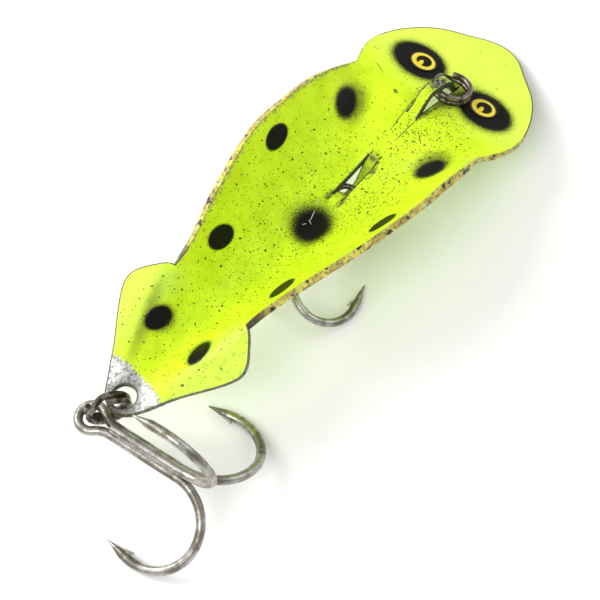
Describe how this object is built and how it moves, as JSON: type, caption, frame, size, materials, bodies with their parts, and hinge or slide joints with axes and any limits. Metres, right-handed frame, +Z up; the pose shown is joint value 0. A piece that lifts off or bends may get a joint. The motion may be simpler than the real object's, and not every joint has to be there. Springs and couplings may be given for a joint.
{
  "type": "stamped metal fishing lure",
  "caption": "Stamped metal lure in frog colours: flat rounded head, trough body and flared tail, with lanced bridges, split rings and swinging hooks.",
  "frame": {"origin": "bottom centre of the bounding box, on the surface the lure lies on", "axes": "+X from tail to head, +Y to the lure's left, +Z up, away from the keel"},
  "size_m": [0.085, 0.0318, 0.021],
  "materials": {
    "frog_paint": "glossy chartreuse lacquer over brass sheet, with sprayed black spots, worn to bare metal at the tail tip and along the edge",
    "eye_print": "printed yellow and black eye film",
    "dark_steel": "oxidised spring wire",
    "hook_steel": "tarnished tinned wire",
    "solder": "dull solder"
  },
  "bodies": {
    "plate": {"body_plate": "frog_paint", "left_eye_disc": "eye_print", "right_eye_disc": "eye_print"},
    "tie_ring": {"line_tie_ring": "dark_steel"},
    "belly_ring_body": {"belly_ring": "dark_steel"},
    "belly_hook": {"belly_double_hook": "hook_steel", "belly_hook_solder": "solder"},
    "tail_ring_body": {"tail_ring": "dark_steel"},
    "tail_hook": {"tail_double_hook": "hook_steel", "tail_single_hook": "hook_steel", "tail_hook_solder": "solder"}
  },
  "joints": [
    {"name": "line_tie_swing", "type": "hinge", "parent": "plate", "child": "tie_ring", "pos_m": [0.02882, 0.00347, 0.0087], "axis": [-0.3376, -0.9276, 0.1602], "range_deg": [0, 135]},
    {"name": "belly_ring_swing", "type": "hinge", "parent": "plate", "child": "belly_ring_body", "pos_m": [0.01262, 0.00347, 0.00512], "axis": [-0.1736, 0.9848, 0], "range_deg": [-75, 0]},
    {"name": "belly_hook_swing", "type": "hinge", "parent": "belly_ring_body", "child": "belly_hook", "pos_m": [0.00847, 0.00274, 0.00316], "axis": [-0.1826, 0.9813, 0.0605], "range_deg": [-100, 0]},
    {"name": "tail_ring_swing", "type": "hinge", "parent": "plate", "child": "tail_ring_body", "pos_m": [-0.02848, 0.00347, 0.00881], "axis": [0.454, 0.891, 0], "range_deg": [-8, 55]},
    {"name": "tail_hook_swing", "type": "hinge", "parent": "tail_ring_body", "child": "tail_hook", "pos_m": [-0.03261, 0.00558, 0.00635], "axis": [-0.0051, 0.0345, 0.9994], "range_deg": [-180, 5]}
  ]
}
